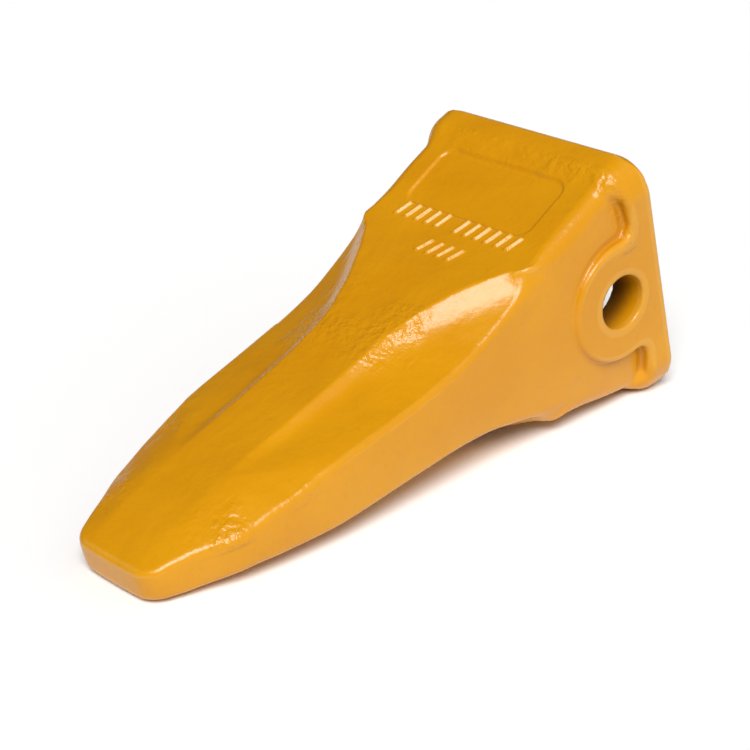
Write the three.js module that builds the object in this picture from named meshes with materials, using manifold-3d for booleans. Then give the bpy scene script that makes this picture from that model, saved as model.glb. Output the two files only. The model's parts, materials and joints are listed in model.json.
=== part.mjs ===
// Excavator bucket tooth: a hollow steel casting that slips over an adapter nose, and the steel
// pin that locks it there. Millimetres, +Z up. The tooth lies on the floor as it rests: on the
// lower edge of its collar and on the underside of its blade, with the tip towards -Y.
//
// Inside the tooth's own frame, u runs forward from the open rear face to the tip, x runs across
// and w runs up from the middle plane. The outside is the same above and below that plane.
import * as THREE from 'three';
import { mergeVertices } from 'three/addons/utils/BufferGeometryUtils.js';
import Module from 'manifold-3d';

const wasm = await Module();
wasm.setup();

// ---- driving dimensions -------------------------------------------------------------------
const LENGTH = 262;
const COLLAR = { width: 118.5, height: 112, depth: 14, corner: 15.5, lead: 3 };
const WALL = 17;
const BORE = { fromRear: 24, radius: 12 };
const BOSS = { radius: 27, face: 56.5, neckHeight: 39, neckFrom: 80 };
const SOCKET = { depth: 110, endWidth: 56, endHeight: 23, corner: 9 };
const TOP = { rise: 56.3, slope: 0.275 };
const PANEL = { middle: -1, width: 70.5, rear: 21, front: 53, corner: 7, sink: 1 };
const PIP = { length: 9, width: 2.4, rise: 1.1, pitch: 6.6, lean: 20 };
const PIP_ROWS = [
  { u: 57, from: -34, count: 5 },
  { u: 57, from: 3, count: 6 },
  { u: 72, from: -7, count: 4 },
];
const PIN = { radius: 11.1, length: 105, chamfer: 2, groove: 9.4, grooveAt: 33, grooveWidth: 8 };
const PIN_DRAWN_BACK = 24;
const STATION_STEP = 8;
const BLADE_START = 7;

// The outline along the tooth. Each row is one station:
// [u, half width, height of the side edge, half width of the rib, height of the rib]
const STATIONS = [
  [0, 51.6, 50, 45.5, 56.3],
  [32, 51.6, 41.3, 45.5, 47.6],
  [60, 50.3, 34.8, 46.8, 39.5],
  [74, 49.6, 29.2, 38.6, 37.4],
  [86, 49.1, 24.9, 30.8, 36],
  [106, 48.4, 19, 21.4, 32],
  [126, 47.9, 16.2, 16.3, 27.7],
  [147, 46.8, 15, 15.3, 24.2],
  [178, 44.6, 13.8, 14.8, 20.6],
  [209, 40.6, 10.1, 14, 17.6],
  [224, 37.6, 8.1, 13.8, 15.2],
  [244, 28.6, 8.1, 13, 11.4],
  [LENGTH, 21.4, 6.2, 12.5, 6.8],
];
const SCOOP = { from: 57, full: 78, fade: 190, end: 213, skew: 28, bend: 2 };
const FLANK_STEPS = 4;
const TIP_ROUND = 4;
const SIDE_BULGE = 1.5;

// ---- small helpers --------------------------------------------------------------------------
const rad = THREE.MathUtils.degToRad;
const mix = THREE.MathUtils.lerp;

// A smooth curve through the stations that never overshoots them.
function along(column) {
  const u = STATIONS.map((row) => row[0]);
  const value = STATIONS.map((row) => row[column]);
  const slope = u.map((_, i) => {
    if (i === 0 || i === u.length - 1) return 0;
    const before = (value[i] - value[i - 1]) / (u[i] - u[i - 1]);
    const after = (value[i + 1] - value[i]) / (u[i + 1] - u[i]);
    return before * after <= 0 ? 0 : (2 * before * after) / (before + after);
  });
  slope[0] = (value[1] - value[0]) / (u[1] - u[0]);
  slope[u.length - 1] = (value.at(-1) - value.at(-2)) / (u.at(-1) - u.at(-2));
  return (at) => {
    const found = u.findIndex((limit) => at <= limit);
    const i = Math.max(1, found < 0 ? u.length - 1 : found);
    const span = u[i] - u[i - 1];
    const t = (at - u[i - 1]) / span;
    const rise = value[i] * t * t * (3 - 2 * t) + value[i - 1] * (1 - t) * (1 - t) * (1 + 2 * t);
    return rise + span * t * (1 - t) * (slope[i - 1] * (1 - t) - slope[i] * t);
  };
}
const halfWidth = along(1);
const edgeHeight = along(2);
const ribHalfWidth = along(3);
const ribHeight = along(4);

// A BufferGeometry as a manifold-3d solid, and back.
function solid(geometry) {
  const bare = geometry.index ? geometry.toNonIndexed() : geometry.clone();
  bare.deleteAttribute('normal');
  bare.deleteAttribute('uv');
  const merged = mergeVertices(bare, 1e-4);
  const vertProperties = new Float32Array(merged.attributes.position.array);
  const triVerts = new Uint32Array(merged.index.array);
  return new wasm.Manifold(new wasm.Mesh({ numProp: 3, vertProperties, triVerts }));
}

function geometryOf(manifold) {
  const mesh = manifold.getMesh();
  const geometry = new THREE.BufferGeometry();
  geometry.setAttribute('position', new THREE.BufferAttribute(mesh.vertProperties, 3));
  geometry.setIndex(new THREE.BufferAttribute(mesh.triVerts, 1));
  return geometry;
}

// A solid skinned over rings of points. Every ring has the same count of points, anticlockwise
// seen from in front of the tip, and the rings run forward from the rear.
function loft(rings) {
  const count = rings[0].length;
  const positions = rings.flat().flatMap((p) => [p.x, p.y, p.z]);
  const faces = [];
  for (let r = 0; r + 1 < rings.length; r += 1) {
    for (let i = 0; i < count; i += 1) {
      const j = (i + 1) % count;
      const [a, b] = [r * count + i, r * count + j];
      const [c, d] = [a + count, b + count];
      faces.push(a, b, d, a, d, c);
    }
  }
  for (const [ring, flip] of [[0, true], [rings.length - 1, false]]) {
    const outline = rings[ring].map((p) => new THREE.Vector2(p.x, p.z));
    for (const [a, b, c] of THREE.ShapeUtils.triangulateShape(outline, [])) {
      const corner = ring * count;
      faces.push(corner + a, corner + (flip ? c : b), corner + (flip ? b : c));
    }
  }
  const geometry = new THREE.BufferGeometry();
  geometry.setAttribute('position', new THREE.Float32BufferAttribute(positions, 3));
  geometry.setIndex(faces);
  return solid(geometry);
}

// The four-way mirrored ring of a quarter outline that runs from the top middle to the side.
function ringAt(u, quarter) {
  const right = [...quarter, ...quarter.slice(0, -1).reverse().map(([x, w]) => [x, -w])];
  const left = right.slice(1, -1).reverse().map(([x, w]) => [-x, w]);
  return [...right, ...left].reverse().map(([x, w]) => new THREE.Vector3(x, -u, w));
}

function roundedQuarter(halfX, halfW, corner, steps = 4) {
  const points = [[0, halfW]];
  for (let i = 0; i <= steps; i += 1) {
    const angle = (Math.PI / 2) * (1 - i / steps);
    const x = halfX - corner + corner * Math.cos(angle);
    points.push([x, halfW - corner + corner * Math.sin(angle)]);
  }
  points.push([halfX, 0]);
  return points;
}

// ---- the casting ----------------------------------------------------------------------------
// The quarter outline of the blade: the rib's flat top, the flank down to the side edge (a plain
// fillet near the collar, a hollow scoop further on), then the side face.
function bladeQuarter(u) {
  const { smoothstep } = THREE.MathUtils;
  const opening = smoothstep(u, SCOOP.from, SCOOP.full);
  const [x0, z0] = [ribHalfWidth(u), ribHeight(u)];
  const [x1, z1] = [halfWidth(u), edgeHeight(u)];
  const points = [[0, z0], [x0 * 0.6, z0]];
  for (let i = 0; i <= FLANK_STEPS; i += 1) {
    const t = i / FLANK_STEPS;
    const fillet = Math.sqrt(1 - t * t);
    const hollow = (1 - t) ** SCOOP.bend;
    const closing = smoothstep(u + SCOOP.skew * t, SCOOP.fade, SCOOP.end);
    const fall = mix(mix(fillet, hollow, opening), 1 - t ** 1.4, closing);
    points.push([mix(x0, x1, t), mix(z1, z0, fall)]);
  }
  points.push([x1 + SIDE_BULGE, 0]);
  return points;
}

function blade() {
  const straight = LENGTH - TIP_ROUND - BLADE_START;
  const count = Math.round(straight / STATION_STEP);
  const rings = [];
  for (let i = 0; i <= count; i += 1) {
    const u = BLADE_START + (straight * i) / count;
    rings.push(ringAt(u, bladeQuarter(u)));
  }
  for (const angle of [rad(35), rad(65)]) {
    const u = LENGTH - TIP_ROUND + TIP_ROUND * Math.sin(angle);
    const inset = TIP_ROUND * (1 - Math.cos(angle));
    const quarter = bladeQuarter(u).map(([x, w]) => [
      Math.max(0, x * (1 - inset / 30)),
      Math.max(0, w * (1 - inset / 8)),
    ]);
    rings.push(ringAt(u, quarter));
  }
  rings.push(ringAt(LENGTH, bladeQuarter(LENGTH).map(([x, w]) => [x * 0.9, w * 0.45])));
  return loft(rings);
}

// The thick band around the open rear end, with a short lead down to the blade.
function collar() {
  const { width, height, depth, corner, lead } = COLLAR;
  const ring = (u, inset) =>
    ringAt(u, roundedQuarter(width / 2 - inset, height / 2 - inset, corner));
  return loft([ring(0, 1), ring(1, 0), ring(depth, 0), ring(depth + lead, lead)]);
}

// The raised face around each end of the pin bore. Its neck runs back into the collar.
function bosses() {
  const outline = new THREE.Shape();
  const [front, rear] = [rad(BOSS.neckFrom), rad(360 - BOSS.neckFrom)];
  outline.absarc(-BORE.fromRear, 0, BOSS.radius, front, rear, false);
  outline.lineTo(-COLLAR.depth, -BOSS.neckHeight);
  outline.lineTo(-1, -BOSS.neckHeight);
  outline.lineTo(-1, BOSS.neckHeight);
  outline.lineTo(-COLLAR.depth, BOSS.neckHeight);
  return acrossTooth(outline, BOSS.face, 24);
}

// A side-view outline, drawn in y and z, as a solid that reaches as far either side of the middle.
function acrossTooth(outline, reach, curveSegments) {
  const extrude = { depth: 2 * reach, bevelEnabled: false, curveSegments };
  const geometry = new THREE.ExtrudeGeometry(outline, extrude);
  geometry.translate(0, 0, -reach);
  geometry.applyMatrix4(new THREE.Matrix4().makeBasis(
    new THREE.Vector3(0, 1, 0),
    new THREE.Vector3(0, 0, 1),
    new THREE.Vector3(1, 0, 0),
  ));
  return solid(geometry);
}

function pinBore() {
  const circle = new THREE.Shape();
  circle.absarc(-BORE.fromRear, 0, BORE.radius, 0, 2 * Math.PI, false);
  return acrossTooth(circle, COLLAR.width / 2 + 1, 24);
}

// The tapered pocket for the adapter nose, open at the rear.
function socket() {
  const mouth = [COLLAR.width / 2 - WALL, COLLAR.height / 2 - WALL];
  const end = [SOCKET.endWidth / 2, SOCKET.endHeight / 2];
  const ring = (u) => {
    const t = u / SOCKET.depth;
    const halfSizes = [mix(mouth[0], end[0], t), mix(mouth[1], end[1], t)];
    return ringAt(u, roundedQuarter(...halfSizes, SOCKET.corner));
  };
  return loft([ring(-2), ring(SOCKET.depth)]);
}

// Puts an outline, drawn in x and u, on the sloping top face, from below it to above it.
function onTopFace(outline, below, above) {
  const extrude = { depth: below + above, bevelEnabled: false, curveSegments: 4 };
  const geometry = new THREE.ExtrudeGeometry(outline, extrude);
  geometry.translate(0, 0, -below);
  geometry.rotateX(Math.atan(TOP.slope));
  geometry.translate(0, 0, TOP.rise);
  return solid(geometry);
}

// The distance down the slope at which a point u from the rear face lies.
const downSlope = (u) => -u * Math.hypot(1, TOP.slope);

function panel() {
  const { middle, width, rear, front, corner, sink } = PANEL;
  const [x0, x1] = [middle - width / 2, middle + width / 2];
  const [y0, y1] = [downSlope(front), downSlope(rear)];
  const outline = new THREE.Shape();
  outline.moveTo(x0 + corner, y0);
  outline.lineTo(x1 - corner, y0);
  outline.quadraticCurveTo(x1, y0, x1, y0 + corner);
  outline.lineTo(x1, y1 - corner);
  outline.quadraticCurveTo(x1, y1, x1 - corner, y1);
  outline.lineTo(x0 + corner, y1);
  outline.quadraticCurveTo(x0, y1, x0, y1 - corner);
  outline.lineTo(x0, y0 + corner);
  outline.quadraticCurveTo(x0, y0, x0 + corner, y0);
  return onTopFace(outline, sink, 3);
}

// Plain slanted bars cast on the top face.
function pips() {
  const lean = PIP.length * Math.tan(rad(PIP.lean));
  const bars = PIP_ROWS.flatMap(({ u, from, count }) =>
    Array.from({ length: count }, (_, i) => {
      const [x, y] = [from + i * PIP.pitch, downSlope(u)];
      return new THREE.Shape([
        new THREE.Vector2(x, y - PIP.length / 2),
        new THREE.Vector2(x + PIP.width, y - PIP.length / 2),
        new THREE.Vector2(x + PIP.width + lean, y + PIP.length / 2),
        new THREE.Vector2(x + lean, y + PIP.length / 2),
      ]);
    }));
  return bars.map((bar) => onTopFace(bar, 3, PIP.rise));
}

function toothCasting() {
  let body = blade().add(collar()).add(bosses()).subtract(panel());
  for (const pip of pips()) body = body.add(pip);
  const shell = body.subtract(socket()).subtract(pinBore());
  const paint = new THREE.MeshStandardMaterial({
    color: 0xd9930f,
    roughness: 0.38,
    metalness: 0,
  });
  const casting = new THREE.Mesh(geometryOf(shell), paint);
  casting.name = 'tooth_casting';
  return casting;
}

// ---- the lock pin ---------------------------------------------------------------------------
// A round steel pin with chamfered ends and one groove, which the adapter's retainer snaps into.
function lockPin() {
  const half = PIN.length / 2;
  const grooveEnds = [PIN.grooveAt - PIN.grooveWidth / 2, PIN.grooveAt + PIN.grooveWidth / 2];
  const shoulder = PIN.radius - PIN.groove;
  const profile = [
    [0, -half],
    [PIN.radius - PIN.chamfer, -half],
    [PIN.radius, -half + PIN.chamfer],
    [PIN.radius, grooveEnds[0]],
    [PIN.groove, grooveEnds[0] + shoulder],
    [PIN.groove, grooveEnds[1] - shoulder],
    [PIN.radius, grooveEnds[1]],
    [PIN.radius, half - PIN.chamfer],
    [PIN.radius - PIN.chamfer, half],
    [0, half],
  ].map(([r, y]) => new THREE.Vector2(r, y));
  const steel = new THREE.MeshStandardMaterial({
    color: 0x6f6c68,
    roughness: 0.45,
    metalness: 1,
  });
  const pin = new THREE.Mesh(new THREE.LatheGeometry(profile, 48), steel);
  pin.name = 'lock_pin';
  pin.rotation.z = -Math.PI / 2;
  const drawnBack = COLLAR.width / 2 - PIN_DRAWN_BACK - half;
  pin.position.set(drawnBack, -BORE.fromRear, 0);
  return pin;
}

// ---- how it lies ----------------------------------------------------------------------------
// The tip drops until the underside of the blade meets the floor in front of the collar's edge.
function restingAngle() {
  let slope = Infinity;
  for (let u = COLLAR.depth + 1; u <= LENGTH; u += 1) {
    const clear = COLLAR.height / 2 - ribHeight(u);
    slope = Math.min(slope, clear / (u - COLLAR.depth));
  }
  return Math.atan(slope);
}

const tooth = new THREE.Group();
tooth.add(toothCasting(), lockPin());
tooth.rotation.x = restingAngle();
tooth.updateMatrixWorld(true);

// The origin is on the floor under the middle of the whole part.
const box = new THREE.Box3().setFromObject(tooth, true);
const middle = box.getCenter(new THREE.Vector3());
tooth.position.set(-middle.x, -middle.y, -box.min.z);

const part = new THREE.Group();
part.add(tooth);
export default part;
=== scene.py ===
"""Excavator bucket tooth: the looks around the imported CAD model.

The casting's fine surface is worked out from one distance-like field, so every cast fillet is a
smooth blend, and it is laid over the CAD casting. Lengths in the tooth's own frame are in
millimetres: x runs across, u forward from the open rear face to the tip, w up from the middle.
"""

import json
import math

import bmesh
import bpy
import numpy as np
from mathutils import Matrix, Vector


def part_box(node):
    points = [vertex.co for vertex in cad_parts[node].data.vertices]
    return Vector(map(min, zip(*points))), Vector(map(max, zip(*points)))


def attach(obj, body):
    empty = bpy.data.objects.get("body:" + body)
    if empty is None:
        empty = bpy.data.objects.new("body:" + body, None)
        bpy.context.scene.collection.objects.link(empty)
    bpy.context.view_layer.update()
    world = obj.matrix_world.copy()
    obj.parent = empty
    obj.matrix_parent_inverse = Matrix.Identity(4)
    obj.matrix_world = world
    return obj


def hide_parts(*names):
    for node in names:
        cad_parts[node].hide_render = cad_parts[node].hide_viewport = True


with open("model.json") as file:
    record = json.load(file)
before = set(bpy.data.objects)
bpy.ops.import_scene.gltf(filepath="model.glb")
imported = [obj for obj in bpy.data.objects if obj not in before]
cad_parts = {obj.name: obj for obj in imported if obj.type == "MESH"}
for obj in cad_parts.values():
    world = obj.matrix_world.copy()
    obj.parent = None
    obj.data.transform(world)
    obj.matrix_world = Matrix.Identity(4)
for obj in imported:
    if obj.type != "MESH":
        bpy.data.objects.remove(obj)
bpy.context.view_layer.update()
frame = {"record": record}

MM = 0.001

# ---- the tooth's dimensions, which follow the CAD model's -----------------------------------------
LENGTH = 262
COLLAR = {"half_width": 59.25, "half_height": 56, "side_depth": 13, "top_depth": 15.5, "corner": 15.5}
COLLAR_ROUND = {"rear": 2.2, "side": 1.8, "top": 6.0, "from": 34, "to": 56}
COLLAR_FILLET = {"side": 1.4, "top": 9.0, "from": 40, "to": 50}
SIDE_DRAFT = 0.08
WALL = 17
BORE = {"from_rear": 24, "radius": 12, "rim": 0.9}
BOSS = {"radius": 27, "fillet": 8}
SOCKET = {"depth": 110, "end_width": 56, "end_height": 23, "corner": 9}
SOCKET_ROUND = {"mouth": 1.8, "end": 5}
SOCKET_WALL_SLOPE = 0.96
TOP_SLOPE = 0.275
PANEL = {"middle": -1, "width": 70.5, "rear": 21, "front": 53, "corner": 7, "sink": 1.0}
PANEL_EDGE = (-1.1, 0.5)
PIP = {"length": 9, "width": 2.3, "rise": 1.1, "pitch": 5.9, "lean": 20}
PIP_EDGE = (-0.9, 0.5)
# u of the row, x of its first bar, number of bars
PIP_ROWS = [(57, -34.5, 5), (57, 0, 6), (72, -8, 4)]
SCOOP = {"flank": 0.82, "foot_round": 1.5, "crease": 212.5, "crease_from": 14, "skew": 1.05, "fade": 65}
SCOOP_FLANK = {"rear": 8.5, "tip": 4.5, "from": 86, "to": 140}
CREST = {"rear": 1.2, "tip": 4.0, "from": 130, "to": 190}
CREST_REACH = 6
CROWN_CURVE = 1.5
SIDE_BULGE = {"rear": 2.4, "tip": 0.9, "from": 40, "to": 110}
SIDE_EDGE = {"rear": 7.5, "tip": 1.8, "from": 45, "to": 78}
PARTING_LIP = {"out": 0.9, "from": 126, "to": 190, "start": 0.6, "end": 12}
TIP = {"bow": 0.8, "bow_at": 22, "corner": 6.5}
# u, half width, height of the side edge, half width of the rib, height of the rib
STATIONS = np.array([
    [0, 51.6, 46, 51.6, 56.3],
    [32, 51.6, 41.5, 51.6, 47.6],
    [56, 50.6, 36, 50.6, 40.6],
    [60, 50.3, 34.6, 48.9, 39.5],
    [74, 49.6, 29.2, 38.6, 37.4],
    [86, 49.1, 24.9, 30.8, 36],
    [106, 48.4, 19, 21.4, 32],
    [126, 47.9, 16.2, 16.3, 27.7],
    [147, 46.8, 15, 15.3, 24.2],
    [178, 44.6, 13.8, 14.8, 20.6],
    [209, 40.6, 10.1, 14, 17.6],
    [224, 37.6, 8.1, 13.8, 15.2],
    [244, 28.6, 8.1, 13, 11.4],
    [LENGTH, 21.4, 6.2, 12.5, 6.8],
])
PIN = {"radius": 11.1, "length": 105, "chamfer": 2, "groove": 9.4, "groove_at": 33, "groove_width": 8}
PIN_DIMPLE = 1.6
PIN_EDGE_ROUND = 0.35
PIN_STEPS = 96

BLADE_START = 7
RELIEF_REACH = 4.0
GRID_PITCH = 1.0
GRID_LOW = (-60.3, -LENGTH - 2.7, -58.3)
GRID_HIGH = (60.3, 2.3, 58.3)
# the stretch of the upper face that carries the panel and the bars, and is meshed finer
MARKED = {"rear": 16, "front": 78, "half_width": 46, "above": 30, "margin": 2, "margin_below": 5}

# ---- where the enamel is shaded and where the casting's grain shows: from, to -------------------
BORE_SHADE = (3, 16)
SOCKET_SHADE = (2, 25)
GRAIN = {"everywhere": 0.15, "scoop": 0.8, "scoop_half_width": 32}
GRAIN_NEAR_EDGE = (-22, -6)
GRAIN_TIP = ((175, 200), (238, 252))
GRAIN_BEHIND_PANEL = ((11, 14), (20, 24))
GRAIN_SCOOP = ((96, 106), (132, 145))

# ---- the enamel and the steel -------------------------------------------------------------------
ENAMEL = {"deep": (0.575, 0.238, 0.0020), "light": (0.610, 0.266, 0.0030), "speck": (0.50, 0.18, 0.002)}
# edge: paler enamel on outer edges, partly thin worn paint and partly a painted highlight; crease: painted
# shade in creases; inside: painted shade deep in the bore and the socket
ENAMEL_WEAR_AND_PAINTED_LIGHT = {"edge": (0.66, 0.36, 0.06), "crease": (0.36, 0.105, 0.001), "inside": (0.10, 0.03, 0.003)}
ENAMEL_ROUGHNESS = 0.27
ENAMEL_SPECULAR = 0.36
STEEL = {"dark": (0.17, 0.165, 0.16), "light": (0.27, 0.235, 0.2)}
FLOOR = {"size": 12, "below": 0.0002, "grey": 0.95, "roughness": 0.9}

# ---- light and camera: angles in degrees, lengths in metres, the lens in millimetres ------------
AMBIENT = 0.05
KEY_LIGHT = {"direction": (0.462, -0.43, 0.776), "spread": 31, "strength": 3.58}
FILL_LIGHT = {"direction": (0.82, 0.3, 0.48), "spread": 100, "strength": 0.9}
CAMERA = {"azimuth": 47.51, "elevation": 26.83, "roll": -3.52, "distance": 0.8257, "lens": 96.76}
CAMERA_AIM = Vector((0.013, 0.0014, 0.0415))


# ---- fields: below zero is inside ---------------------------------------------------------------
def smoothstep(value, low, high):
    t = np.clip((value - low) / (high - low), 0, 1)
    return t * t * (3 - 2 * t)


def changing(size, first, second, where):
    """A size that goes smoothly from its first named value to its second between two places."""
    return size[first] + (size[second] - size[first]) * smoothstep(where, size["from"], size["to"])


def between(where, rise, fall):
    """Climbs from 0 to 1 over one stretch and goes back to 0 over another."""
    return smoothstep(where, *rise) * (1 - smoothstep(where, *fall))


def along(column):
    """A smooth curve through the stations that never overshoots them."""
    u, value = STATIONS[:, 0], STATIONS[:, column]
    rise = np.diff(value) / np.diff(u)
    slope = np.zeros(len(u))
    both = rise[:-1] * rise[1:] > 0
    total = np.where(both, rise[:-1] + rise[1:], 1)
    slope[1:-1] = np.where(both, 2 * rise[:-1] * rise[1:] / total, 0)
    slope[0], slope[-1] = rise[0], rise[-1]

    def at(where):
        i = np.clip(np.searchsorted(u, where), 1, len(u) - 1)
        span = u[i] - u[i - 1]
        t = np.clip((where - u[i - 1]) / span, 0, 1)
        blend = value[i] * t * t * (3 - 2 * t) + value[i - 1] * (1 - t) ** 2 * (1 + 2 * t)
        return blend + span * t * (1 - t) * (slope[i - 1] * (1 - t) - slope[i] * t)

    return at


half_width, edge_height, rib_half_width, rib_height = (along(column) for column in (1, 2, 3, 4))


def round_both(a, b, radius):
    """What is inside both fields, with the edge between them rounded."""
    inside = np.maximum(a, b)
    corner = np.hypot(np.maximum(a + radius, 0), np.maximum(b + radius, 0)) - radius
    return np.where((a > -radius) & (b > -radius), corner, inside)


def fillet_either(a, b, radius):
    """What is inside either field, with a fillet where they meet."""
    return -round_both(-a, -b, radius)


def rounded_rectangle(x, y, half_x, half_y, corner):
    qx, qy = np.abs(x) - half_x + corner, np.abs(y) - half_y + corner
    outside = np.hypot(np.maximum(qx, 0), np.maximum(qy, 0))
    return outside + np.minimum(np.maximum(qx, qy), 0) - corner


def smooth_max(a, b, soft):
    return 0.5 * (a + b + np.sqrt((a - b) ** 2 + soft ** 2))


def top_surface(x, u):
    """Height of the upper face: flat rib, straight flank, hollow floor; the tip is only crowned."""
    across = np.abs(x)
    x0, z0 = rib_half_width(u), rib_height(u)
    x1, z1 = half_width(u), edge_height(u)
    width = np.maximum(x1 - x0, 0.01)
    beyond = across - x0
    share = np.clip(beyond / width, 0, 1.15)
    crown = z0 - (z0 - z1) * share ** CROWN_CURVE
    flank_width = np.minimum(changing(SCOOP_FLANK, "rear", "tip", u), 0.75 * width)
    flank_foot = z0 - SCOOP["flank"] * flank_width
    left = np.clip((width - beyond) / (width - flank_width), -0.3, 3)
    floor = z1 + (flank_foot - z1) * left
    flank = z0 - SCOOP["flank"] * beyond
    hollow = smooth_max(flank, floor, SCOOP["foot_round"])
    crest = changing(CREST, "rear", "tip", u)
    hollow = -smooth_max(-z0, -hollow, crest) + crest / 2 * np.exp(-np.abs(beyond) / CREST_REACH)
    until_crease = SCOOP["crease"] - SCOOP["skew"] * (across - SCOOP["crease_from"]) - u
    fading = np.clip(until_crease / SCOOP["fade"], 0, 1)
    return crown + (np.minimum(hollow, z0) - crown) * (1 - (1 - fading) ** 2)


def panel_depth(x, u):
    """The sunk panel near the collar."""
    slant = math.hypot(1, TOP_SLOPE)
    middle_u = (PANEL["rear"] + PANEL["front"]) / 2
    half_u = (PANEL["front"] - PANEL["rear"]) / 2 * slant
    outline = rounded_rectangle(
        x - PANEL["middle"], (u - middle_u) * slant, PANEL["width"] / 2, half_u, PANEL["corner"]
    )
    return PANEL["sink"] * (1 - smoothstep(outline, *PANEL_EDGE))


def pip_height(x, u):
    """Rows of plain slanted bars."""
    slant = math.hypot(1, TOP_SLOPE)
    lean = math.tan(math.radians(PIP["lean"]))
    height = np.zeros_like(x)
    for row_u, start, count in PIP_ROWS:
        down = (u - row_u) * slant
        for number in range(count):
            middle = start + number * PIP["pitch"] + PIP["width"] / 2 + lean * PIP["length"] / 2
            offset = x - middle + down * lean
            beyond = np.maximum(np.abs(down) - (PIP["length"] - PIP["width"]) / 2, 0)
            outline = np.hypot(offset, beyond) - PIP["width"] / 2
            height = np.maximum(height, 1 - smoothstep(outline, *PIP_EDGE))
    return PIP["rise"] * height


def blade_field(x, u, w):
    upper = w > 0
    height = top_surface(x, u)
    height = height + np.where(upper, pip_height(x, u) - panel_depth(x, u), 0)
    step = 0.5
    slope_u = (top_surface(x, u + step) - top_surface(x, u - step)) / (2 * step)
    slope_x = (top_surface(x + step, u) - top_surface(x - step, u)) / (2 * step)
    faces = (np.abs(w) - height) / np.sqrt(1 + slope_u ** 2 + slope_x ** 2)
    share = np.clip(np.abs(w) / np.maximum(edge_height(u), 1), 0, 1)
    bulge = changing(SIDE_BULGE, "rear", "tip", u)
    lip_rise = (PARTING_LIP["from"] - PARTING_LIP["start"], PARTING_LIP["from"] + PARTING_LIP["start"])
    lip_fall = (PARTING_LIP["to"] - PARTING_LIP["end"], PARTING_LIP["to"])
    lip = between(u, lip_rise, lip_fall) * (x < 0)
    bulge = bulge * (1 - share ** 2) + PARTING_LIP["out"] * lip
    narrowing = (half_width(u + step) - half_width(u - step)) / (2 * step)
    sides = (np.abs(x) - half_width(u) - bulge) / np.sqrt(1 + narrowing ** 2)
    bow = TIP["bow"] * (x / TIP["bow_at"]) ** 2
    plan = round_both(sides, u - LENGTH + bow, TIP["corner"])
    body = round_both(faces, plan, changing(SIDE_EDGE, "rear", "tip", u))
    return np.maximum(body, BLADE_START - u)


def collar_field(x, u, w):
    """The band round the rear end and the raised boss round the bore, as one raised face."""
    section = rounded_rectangle(
        x, w, COLLAR["half_width"], COLLAR["half_height"], COLLAR["corner"]
    )
    section = section + SIDE_DRAFT * u
    to_top = smoothstep(np.abs(w), COLLAR_ROUND["from"], COLLAR_ROUND["to"])
    depth = COLLAR["side_depth"] + (COLLAR["top_depth"] - COLLAR["side_depth"]) * to_top
    boss = np.hypot(u - BORE["from_rear"], w) - BOSS["radius"]
    outline = fillet_either(u - depth, boss, BOSS["fillet"])
    front = round_both(section, outline, changing(COLLAR_ROUND, "side", "top", np.abs(w)))
    return round_both(front, -u, COLLAR_ROUND["rear"])


def socket_field(x, u, w):
    mouth_x = COLLAR["half_width"] - WALL
    mouth_w = COLLAR["half_height"] - WALL
    share = u / SOCKET["depth"]
    half_x = mouth_x + (SOCKET["end_width"] / 2 - mouth_x) * share
    half_w = mouth_w + (SOCKET["end_height"] / 2 - mouth_w) * share
    walls = rounded_rectangle(x, w, half_x, half_w, SOCKET["corner"])
    return round_both(walls * SOCKET_WALL_SLOPE, u - SOCKET["depth"], SOCKET_ROUND["end"])


def casting_field(points):
    x, u, w = points[..., 0], -points[..., 1], points[..., 2]
    fillet = changing(COLLAR_FILLET, "side", "top", np.abs(w))
    outside = fillet_either(blade_field(x, u, w), collar_field(x, u, w), fillet)
    hollow = round_both(outside, -socket_field(x, u, w), SOCKET_ROUND["mouth"])
    bore = np.hypot(u - BORE["from_rear"], w) - BORE["radius"]
    return round_both(hollow, -bore, BORE["rim"])


# ---- a field's surface as a mesh ----------------------------------------------------------------
def gradient(field, points, step=0.05):
    parts = []
    for axis in range(3):
        offset = np.zeros(3)
        offset[axis] = step
        parts.append((field(points + offset) - field(points - offset)) / (2 * step))
    return np.stack(parts, axis=-1)


def onto_surface(field, points, rounds=3, reach=0.6):
    for _ in range(rounds):
        slope = gradient(field, points)
        size = np.maximum((slope ** 2).sum(axis=-1, keepdims=True), 0.05)
        move = -field(points)[..., None] * slope / size
        length = np.linalg.norm(move, axis=-1, keepdims=True)
        points = points + move * np.minimum(1, reach / np.maximum(length, 1e-9))
    return points


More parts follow.
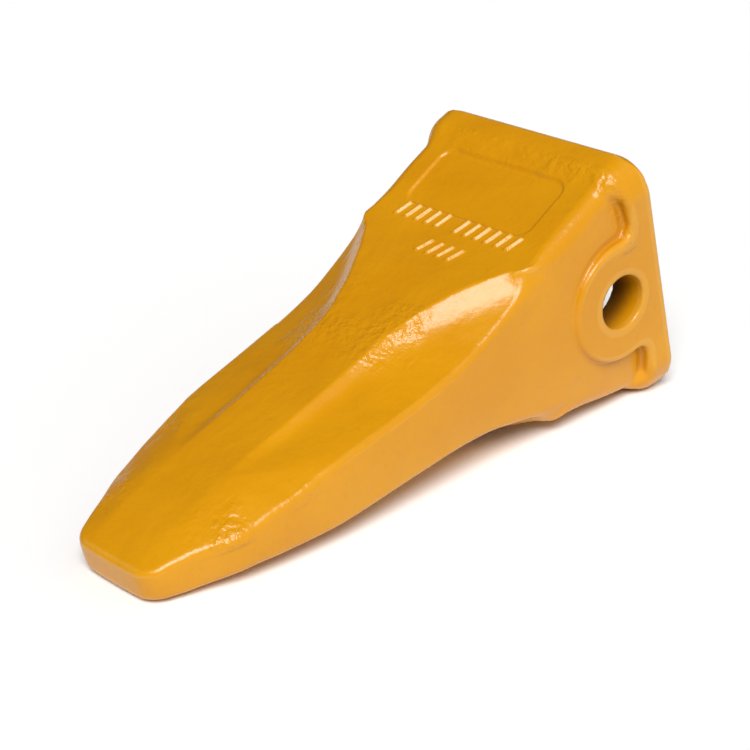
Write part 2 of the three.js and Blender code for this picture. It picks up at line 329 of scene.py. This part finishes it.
def surface_net(field, low, high, pitch):
    """One vertex in each grid cell that the surface crosses, and a quad round each crossed edge."""
    axes = [np.arange(a, b + pitch, pitch) for a, b in zip(low, high)]
    counts = [len(axis) for axis in axes]
    value = np.empty(counts, np.float32)
    for i, x in enumerate(axes[0]):
        y, z = np.meshgrid(axes[1], axes[2], indexing="ij")
        value[i] = field(np.stack([np.full_like(y, x), y, z], axis=-1))
    cells = [count - 1 for count in counts]
    total = np.zeros(cells + [3], np.float32)
    hits = np.zeros(cells, np.float32)
    crossings = []
    for axis in range(3):
        near = np.take(value, range(counts[axis] - 1), axis=axis)
        far = np.take(value, range(1, counts[axis]), axis=axis)
        crossed = (near < 0) != (far < 0)
        share = np.where(crossed, near / np.where(crossed, near - far, 1), 0)
        crossings.append((crossed, near < 0))
        others = [a for a in range(3) if a != axis]
        for first in (0, 1):
            for second in (0, 1):
                cut = [slice(None)] * 3
                cut[others[0]] = slice(first, first + cells[others[0]])
                cut[others[1]] = slice(second, second + cells[others[1]])
                mask = crossed[tuple(cut)]
                hits += mask
                total[..., axis] += share[tuple(cut)]
                total[..., others[0]] += mask * first
                total[..., others[1]] += mask * second
    active = hits > 0
    number = np.full(cells, -1, np.int64)
    number[active] = np.arange(active.sum())
    place = np.argwhere(active) + total[active] / hits[active][:, None]
    points = np.array(low) + place * pitch
    quads = []
    for axis, (crossed, near_inside) in enumerate(crossings):
        one, two = (axis + 1) % 3, (axis + 2) % 3
        edges = np.argwhere(crossed)
        outward = near_inside[crossed]
        ring = []
        for step_one, step_two in ((1, 1), (0, 1), (0, 0), (1, 0)):
            cell = edges.copy()
            cell[:, one] -= step_one
            cell[:, two] -= step_two
            ring.append(number[tuple(cell.T)])
        quad = np.stack(ring, axis=1)
        quads.append(np.where(outward[:, None], quad, quad[:, ::-1]))
    return points, np.concatenate(quads)


def relaxed(field, points, quads, rounds=3):
    """Evens out the vertices along the surface."""
    for _ in range(rounds):
        total = np.zeros_like(points)
        count = np.zeros(len(points))
        for step in (1, -1):
            neighbour = np.roll(quads, step, axis=1)
            np.add.at(total, quads.ravel(), points[neighbour.ravel()])
            np.add.at(count, quads.ravel(), 1)
        points = points * 0.4 + total / count[:, None] * 0.6
        points = onto_surface(field, points, rounds=1)
    return onto_surface(field, points, rounds=2)


# ---- where the tooth lies -----------------------------------------------------------------------
def tooth_matrix():
    """From the tooth's own millimetres to the row frame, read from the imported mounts."""
    mounts = {mount["name"]: mount for mount in frame["record"]["mounts"]}
    back = Vector(mounts["socket_end_face"]["axis"]).normalized()
    rear_middle = Vector(mounts["socket_end_face"]["pos_m"]) + back * SOCKET["depth"] * MM
    turn = Matrix.Rotation(math.atan2(back.z, back.y), 4, "X")
    return Matrix.Translation(rear_middle) @ turn @ Matrix.Scale(MM, 4)


def vertex_places(piece):
    flat = np.empty(len(piece.data.vertices) * 3, np.float32)
    piece.data.vertices.foreach_get("co", flat)
    return flat.reshape(-1, 3).astype(float)


def store(piece, name, values):
    piece.data.attributes.new(name, "FLOAT", "POINT").data.foreach_set("value", values)


def mesh_object(name, points, faces):
    mesh = bpy.data.meshes.new(name)
    mesh.from_pydata([tuple(p) for p in points], [], [tuple(int(i) for i in f) for f in faces])
    mesh.update()
    piece = bpy.data.objects.new(name, mesh)
    bpy.context.scene.collection.objects.link(piece)
    return piece


def refine_marked_area(piece):
    """Halves the faces where the panel and the bars are, so that their edges come out crisp."""
    work = bmesh.new()
    work.from_mesh(piece.data)
    chosen = set()
    for face in work.faces:
        middle = face.calc_center_median()
        near = MARKED["rear"] < -middle.y < MARKED["front"] and abs(middle.x) < MARKED["half_width"]
        if near and middle.z > MARKED["above"] and face.normal.z > 0.6:
            chosen.update(face.edges)
    bmesh.ops.subdivide_edges(work, edges=list(chosen), cuts=1, use_grid_fill=True)
    work.to_mesh(piece.data)
    work.free()
    points = vertex_places(piece)
    u, w = -points[:, 1], points[:, 2]
    marked = (u > MARKED["rear"] - MARKED["margin"]) & (u < MARKED["front"] + MARKED["margin"])
    marked &= w > MARKED["above"] - MARKED["margin_below"]
    points[marked] = onto_surface(casting_field, points[marked], rounds=3)
    piece.data.vertices.foreach_set("co", points.astype(np.float32).ravel())
    piece.data.update()


def add_relief(piece):
    """Stores how far each vertex is on an outer edge (above zero) or in a crease (below zero)."""
    points = vertex_places(piece)
    outward = gradient(casting_field, points)
    outward /= np.maximum(np.linalg.norm(outward, axis=-1, keepdims=True), 1e-6)
    under = 1 + casting_field(points - RELIEF_REACH * outward) / RELIEF_REACH
    over = 1 - casting_field(points + RELIEF_REACH * outward) / RELIEF_REACH
    relief = np.clip(under, 0, 1) - np.clip(over, 0, 1)
    store(piece, "relief", relief)


def add_shade(piece):
    """Stores how deep each vertex is in the bore or the socket, from 0 to 1."""
    points = vertex_places(piece)
    x, u, w = points[:, 0], -points[:, 1], points[:, 2]
    in_bore = np.hypot(u - BORE["from_rear"], w) < BORE["radius"] + BORE["rim"]
    depth = smoothstep(np.where(in_bore, COLLAR["half_width"] - np.abs(x), 0), *BORE_SHADE)
    in_socket = (socket_field(x, u, w) < 0.4) & (u > 1)
    depth = np.maximum(depth, np.where(in_socket, smoothstep(u, *SOCKET_SHADE), 0))
    store(piece, "inside", depth)


def add_grain(piece):
    """Stores how much of the casting's coarse grain shows at each vertex."""
    points = vertex_places(piece)
    x, u, w = points[:, 0], -points[:, 1], points[:, 2]
    tip = smoothstep(np.abs(x) - half_width(u), *GRAIN_NEAR_EDGE) * between(u, *GRAIN_TIP)
    scoop = GRAIN["scoop"] * between(u, *GRAIN_SCOOP) * (np.abs(x) < GRAIN["scoop_half_width"])
    patches = np.maximum(tip, np.maximum(between(u, *GRAIN_BEHIND_PANEL), scoop))
    upper = w > 0.5 * edge_height(u)
    store(piece, "coarse", GRAIN["everywhere"] + patches * upper)


def make_casting():
    points, quads = surface_net(casting_field, GRID_LOW, GRID_HIGH, GRID_PITCH)
    points = relaxed(casting_field, onto_surface(casting_field, points), quads)
    piece = mesh_object("casting_surface", points, quads)
    refine_marked_area(piece)
    add_relief(piece)
    add_shade(piece)
    add_grain(piece)
    piece.data.polygons.foreach_set("use_smooth", [True] * len(piece.data.polygons))
    piece.data.transform(tooth_matrix())
    piece.data.materials.append(enamel_material())
    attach(piece, "tooth")
    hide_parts("tooth_casting")


# ---- materials ----------------------------------------------------------------------------------
def new_material(name):
    material = bpy.data.materials.new(name)
    material.use_nodes = True
    nodes = material.node_tree.nodes
    return material, nodes, material.node_tree.links, nodes["Principled BSDF"]


def noise(nodes, links, place, scale, detail=2.0, roughness=0.5):
    node = nodes.new("ShaderNodeTexNoise")
    node.inputs["Scale"].default_value = scale
    node.inputs["Detail"].default_value = detail
    node.inputs["Roughness"].default_value = roughness
    links.new(place, node.inputs["Vector"])
    return node.outputs["Fac"]


def remap(nodes, links, value, low, high, to_low=0.0, to_high=1.0):
    node = nodes.new("ShaderNodeMapRange")
    node.inputs["From Min"].default_value = low
    node.inputs["From Max"].default_value = high
    node.inputs["To Min"].default_value = to_low
    node.inputs["To Max"].default_value = to_high
    links.new(value, node.inputs["Value"])
    return node.outputs["Result"]


def mix_colour(nodes, links, factor, first, second):
    node = nodes.new("ShaderNodeMix")
    node.data_type = "RGBA"
    links.new(factor, node.inputs["Factor"])
    for socket, value in ((node.inputs[6], first), (node.inputs[7], second)):
        if isinstance(value, tuple):
            socket.default_value = (*value, 1)
        else:
            links.new(value, socket)
    return node.outputs[2]


def bump(nodes, links, height, distance, strength=1.0, normal=None):
    node = nodes.new("ShaderNodeBump")
    node.inputs["Strength"].default_value = strength
    node.inputs["Distance"].default_value = distance
    links.new(height, node.inputs["Height"])
    if normal is not None:
        links.new(normal, node.inputs["Normal"])
    return node.outputs["Normal"]


def times(nodes, links, first, second):
    node = nodes.new("ShaderNodeMath")
    node.operation = "MULTIPLY"
    links.new(first, node.inputs[0])
    links.new(second, node.inputs[1])
    return node.outputs["Value"]


def stored(nodes, name):
    node = nodes.new("ShaderNodeAttribute")
    node.attribute_name = name
    return node.outputs["Fac"]


def enamel_material():
    """Thick orange-yellow enamel sprayed over a sand casting."""
    material, nodes, links, shader = new_material("casting_enamel")
    place = nodes.new("ShaderNodeTexCoord").outputs["Object"]
    broad = noise(nodes, links, place, 22, detail=3)
    fine = noise(nodes, links, place, 260, detail=3)
    tint = mix_colour(nodes, links, remap(nodes, links, broad, 0.35, 0.65),
                      ENAMEL["deep"], ENAMEL["light"])
    tint = mix_colour(nodes, links, remap(nodes, links, fine, 0.62, 0.85, 0.0, 0.35),
                      tint, ENAMEL["speck"])
    relief = stored(nodes, "relief")
    # outer edges paler: partly thin worn enamel, partly a painted highlight along the edges
    tint = mix_colour(nodes, links, remap(nodes, links, relief, 0.08, 0.2, 0.0, 0.3),
                      tint, ENAMEL_WEAR_AND_PAINTED_LIGHT["edge"])
    # creases darker: painted shade
    tint = mix_colour(nodes, links, remap(nodes, links, relief, -0.08, -0.3, 0.0, 0.35),
                      tint, ENAMEL_WEAR_AND_PAINTED_LIGHT["crease"])
    # deeper in the bore and the socket darker: painted shade
    tint = mix_colour(nodes, links, remap(nodes, links, stored(nodes, "inside"), 0, 1, 0.0, 0.85),
                      tint, ENAMEL_WEAR_AND_PAINTED_LIGHT["inside"])
    links.new(tint, shader.inputs["Base Color"])
    shader.inputs["Roughness"].default_value = ENAMEL_ROUGHNESS
    shader.inputs["Specular IOR Level"].default_value = ENAMEL_SPECULAR
    lumps = noise(nodes, links, place, 55, detail=2)
    pits = noise(nodes, links, place, 210, detail=3, roughness=0.6)
    peel = noise(nodes, links, place, 650, detail=2)
    patches = remap(nodes, links, noise(nodes, links, place, 38, detail=2), 0.42, 0.6)
    grains = times(nodes, links, patches, noise(nodes, links, place, 330, detail=2))
    grains = times(nodes, links, grains, stored(nodes, "coarse"))
    normal = bump(nodes, links, lumps, 0.0016, 0.5)
    normal = bump(nodes, links, pits, 0.0004, 0.5, normal)
    normal = bump(nodes, links, grains, 0.0022, 0.5, normal)
    normal = bump(nodes, links, peel, 0.00012, 0.5, normal)
    links.new(normal, shader.inputs["Normal"])
    return material


def steel_material():
    """Dark heat-treated steel, faintly turned round its axis."""
    material, nodes, links, shader = new_material("pin_steel")
    place = nodes.new("ShaderNodeTexCoord").outputs["Object"]
    stretch = nodes.new("ShaderNodeMapping")
    stretch.inputs["Scale"].default_value = (9.0, 0.6, 0.6)
    links.new(place, stretch.inputs["Vector"])
    turned = noise(nodes, links, stretch.outputs["Vector"], 300, detail=2)
    stain = noise(nodes, links, place, 45, detail=4, roughness=0.6)
    colour = mix_colour(nodes, links, remap(nodes, links, stain, 0.4, 0.65),
                        STEEL["dark"], STEEL["light"])
    links.new(colour, shader.inputs["Base Color"])
    shader.inputs["Metallic"].default_value = 1.0
    links.new(remap(nodes, links, stain, 0.3, 0.7, 0.32, 0.5), shader.inputs["Roughness"])
    links.new(bump(nodes, links, turned, 0.00005, 0.6), shader.inputs["Normal"])
    return material


# ---- the lock pin -------------------------------------------------------------------------------
def pin_profile():
    """Radius and place along the pin: centre dimples, chamfers and a groove with sloping shoulders."""
    half = PIN["length"] / 2
    radius, chamfer, groove = PIN["radius"], PIN["chamfer"], PIN["groove"]
    shoulder = radius - groove
    start = PIN["groove_at"] - PIN["groove_width"] / 2
    end = PIN["groove_at"] + PIN["groove_width"] / 2
    points = [(0, -half + PIN_DIMPLE), (PIN_DIMPLE, -half), (radius - chamfer, -half)]
    points += [(radius, -half + chamfer), (radius, start), (groove, start + shoulder)]
    points += [(groove, end - shoulder), (radius, end), (radius, half - chamfer)]
    return points + [(radius - chamfer, half), (PIN_DIMPLE, half), (0, half - PIN_DIMPLE)]


def make_pin():
    low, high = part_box("lock_pin")
    middle = (low + high) / 2
    work = bmesh.new()
    rings = []
    for radius, along_pin in pin_profile():
        count = PIN_STEPS if radius > 0 else 1
        ring = []
        for i in range(count):
            angle = 2 * math.pi * i / PIN_STEPS
            point = Vector((along_pin, radius * math.cos(angle), radius * math.sin(angle)))
            ring.append(work.verts.new(middle + point * MM))
        rings.append(ring)
    for first, second in zip(rings, rings[1:]):
        for i in range(PIN_STEPS):
            corners = [first[i % len(first)], first[(i + 1) % len(first)]]
            corners += [second[(i + 1) % len(second)], second[i % len(second)]]
            work.faces.new(list(dict.fromkeys(corners)))
    bmesh.ops.recalc_face_normals(work, faces=work.faces)
    sharp = [edge for edge in work.edges if edge.is_manifold and edge.calc_face_angle() > math.radians(20)]
    bmesh.ops.bevel(work, geom=sharp, offset=PIN_EDGE_ROUND * MM, segments=3, affect="EDGES", profile=0.5)
    mesh = bpy.data.meshes.new("pin_surface")
    work.to_mesh(mesh)
    work.free()
    mesh.polygons.foreach_set("use_smooth", [True] * len(mesh.polygons))
    piece = bpy.data.objects.new("pin_surface", mesh)
    bpy.context.scene.collection.objects.link(piece)
    mesh.materials.append(steel_material())
    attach(piece, "pin")
    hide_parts("lock_pin")


# ---- floor, light and camera --------------------------------------------------------------------
def make_floor():
    bpy.ops.mesh.primitive_plane_add(size=FLOOR["size"], location=(0, 0, -FLOOR["below"]))
    floor = bpy.context.object
    floor.name = "floor"
    material, _, _, shader = new_material("floor_pale")
    shader.inputs["Base Color"].default_value = (FLOOR["grey"], FLOOR["grey"], FLOOR["grey"], 1)
    shader.inputs["Roughness"].default_value = FLOOR["roughness"]
    floor.data.materials.append(material)


def far_light(name, direction, spread, strength):
    """A soft light too far away to fall off, so the floor is evenly lit."""
    data = bpy.data.lights.new(name, "SUN")
    data.energy = strength
    data.angle = math.radians(spread)
    light = bpy.data.objects.new(name, data)
    bpy.context.scene.collection.objects.link(light)
    light.rotation_euler = Vector(direction).to_track_quat("Z", "Y").to_euler()


def make_lights():
    world = bpy.data.worlds.new("studio")
    bpy.context.scene.world = world
    world.use_nodes = True
    background = world.node_tree.nodes["Background"]
    background.inputs["Color"].default_value = (1, 1, 1, 1)
    background.inputs["Strength"].default_value = AMBIENT
    far_light("key", **KEY_LIGHT)
    far_light("fill", **FILL_LIGHT)


def make_camera():
    azimuth, elevation, roll = (math.radians(CAMERA[key]) for key in ("azimuth", "elevation", "roll"))
    back = Vector((
        math.sin(azimuth) * math.cos(elevation),
        -math.cos(azimuth) * math.cos(elevation),
        math.sin(elevation),
    ))
    data = bpy.data.cameras.new("camera")
    data.lens = CAMERA["lens"]
    data.sensor_width = 36
    camera = bpy.data.objects.new("camera", data)
    bpy.context.scene.collection.objects.link(camera)
    turn = back.to_track_quat("Z", "Y").to_matrix() @ Matrix.Rotation(roll, 3, "Z")
    camera.matrix_world = Matrix.Translation(CAMERA_AIM + back * CAMERA["distance"]) @ turn.to_4x4()
    bpy.context.scene.camera = camera


def clear_start_objects():
    """Removes what a new Blender file starts with."""
    for name in ("Cube", "Light", "Camera"):
        if name in bpy.data.objects:
            bpy.data.objects.remove(bpy.data.objects[name])


clear_start_objects()
bpy.context.scene.view_settings.view_transform = "Standard"
make_camera()
make_lights()
make_floor()
make_casting()
make_pin()
